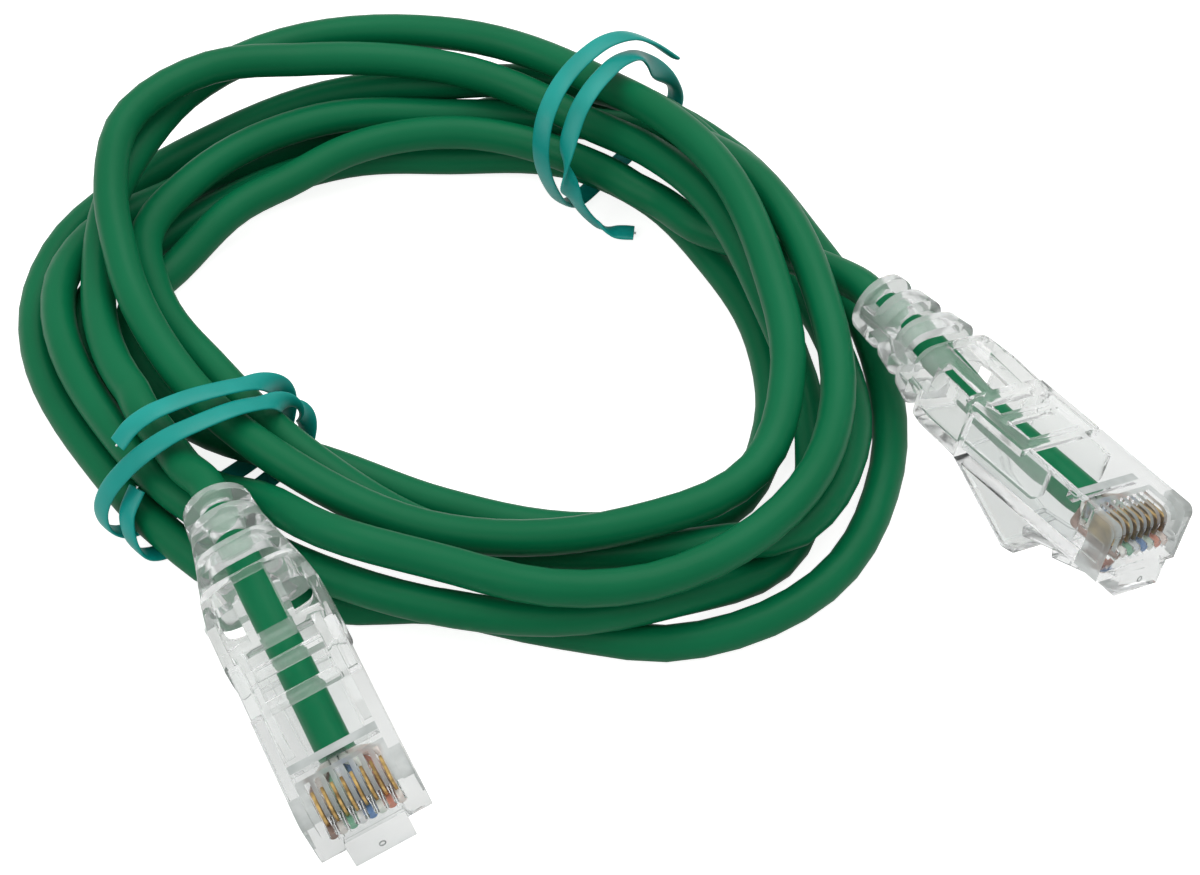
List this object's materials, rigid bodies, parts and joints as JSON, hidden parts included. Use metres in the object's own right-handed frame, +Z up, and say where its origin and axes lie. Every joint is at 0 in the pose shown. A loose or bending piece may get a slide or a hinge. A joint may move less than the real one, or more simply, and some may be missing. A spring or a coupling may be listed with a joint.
{
  "type": "ethernet patch cable",
  "caption": "Coiled green network patch cable with a clear modular plug and slotted clear boot at each end, held by two twist ties.",
  "frame": {"origin": "point on the table midway under the bounding box of the two plugs and their boots", "axes": "+Z up; the table is z = 0; +Y points from the plugs towards the wound bundle"},
  "size_m": [0.123, 0.1154, 0.0188],
  "materials": {
    "jacket": "satin PVC",
    "clear_plug": "clear polycarbonate",
    "clear_boot": "clear soft PVC",
    "gold": "gold plated",
    "tie_ribbon": "matt plastic ribbon",
    "tie_steel": "bright wire",
    "wire_orange": "insulation",
    "wire_green": "insulation",
    "wire_blue": "insulation",
    "wire_brown": "insulation"
  },
  "bodies": {
    "cable": {"coil": "jacket", "lead_a": "jacket", "lead_b": "jacket", "tie_front": "tie_ribbon", "tie_front_wire": "tie_steel", "tie_top": "tie_ribbon", "tie_top_wire": "tie_steel", "housing_a": "clear_plug", "contacts_a": "gold", "boot_a": "clear_boot", "jacket_end_a": "jacket", "pair_orange_a": "wire_orange", "pair_green_a": "wire_green", "pair_blue_a": "wire_blue", "pair_brown_a": "wire_brown", "housing_b": "clear_plug", "contacts_b": "gold", "boot_b": "clear_boot", "jacket_end_b": "jacket", "pair_orange_b": "wire_orange", "pair_green_b": "wire_green", "pair_blue_b": "wire_blue", "pair_brown_b": "wire_brown"},
    "latch_a": {"latch_a": "clear_plug"},
    "latch_guard_a": {"latch_guard_a": "clear_boot"},
    "latch_b": {"latch_b": "clear_plug"},
    "latch_guard_b": {"latch_guard_b": "clear_boot"}
  },
  "joints": [
    {"name": "latch_a_press", "type": "hinge", "parent": "cable", "child": "latch_a", "pos_m": [-0.02998, -0.03108, 0.007], "axis": [0.88, 0.3985, 0.2583], "range_deg": [0, 14], "stiffness_Nm_per_rad": 0.02},
    {"name": "latch_guard_a_press", "type": "hinge", "parent": "cable", "child": "latch_guard_a", "pos_m": [-0.03869, -0.01098, 0.00567], "axis": [0.88, 0.3985, 0.2583], "range_deg": [-12.5, 0], "stiffness_Nm_per_rad": 0.02},
    {"name": "latch_b_press", "type": "hinge", "parent": "cable", "child": "latch_b", "pos_m": [0.04308, 0.00034, 0.00687], "axis": [0.7701, 0.5458, -0.3302], "range_deg": [0, 14], "stiffness_Nm_per_rad": 0.02},
    {"name": "latch_guard_b_press", "type": "hinge", "parent": "cable", "child": "latch_guard_b", "pos_m": [0.03014, 0.01805, 0.00596], "axis": [0.7701, 0.5458, -0.3302], "range_deg": [-12.5, 0], "stiffness_Nm_per_rad": 0.02}
  ],
  "couplings": [
    {"joint": "latch_guard_a_press", "follows": "latch_a_press", "ratio": -0.85},
    {"joint": "latch_guard_b_press", "follows": "latch_b_press", "ratio": -0.85}
  ]
}
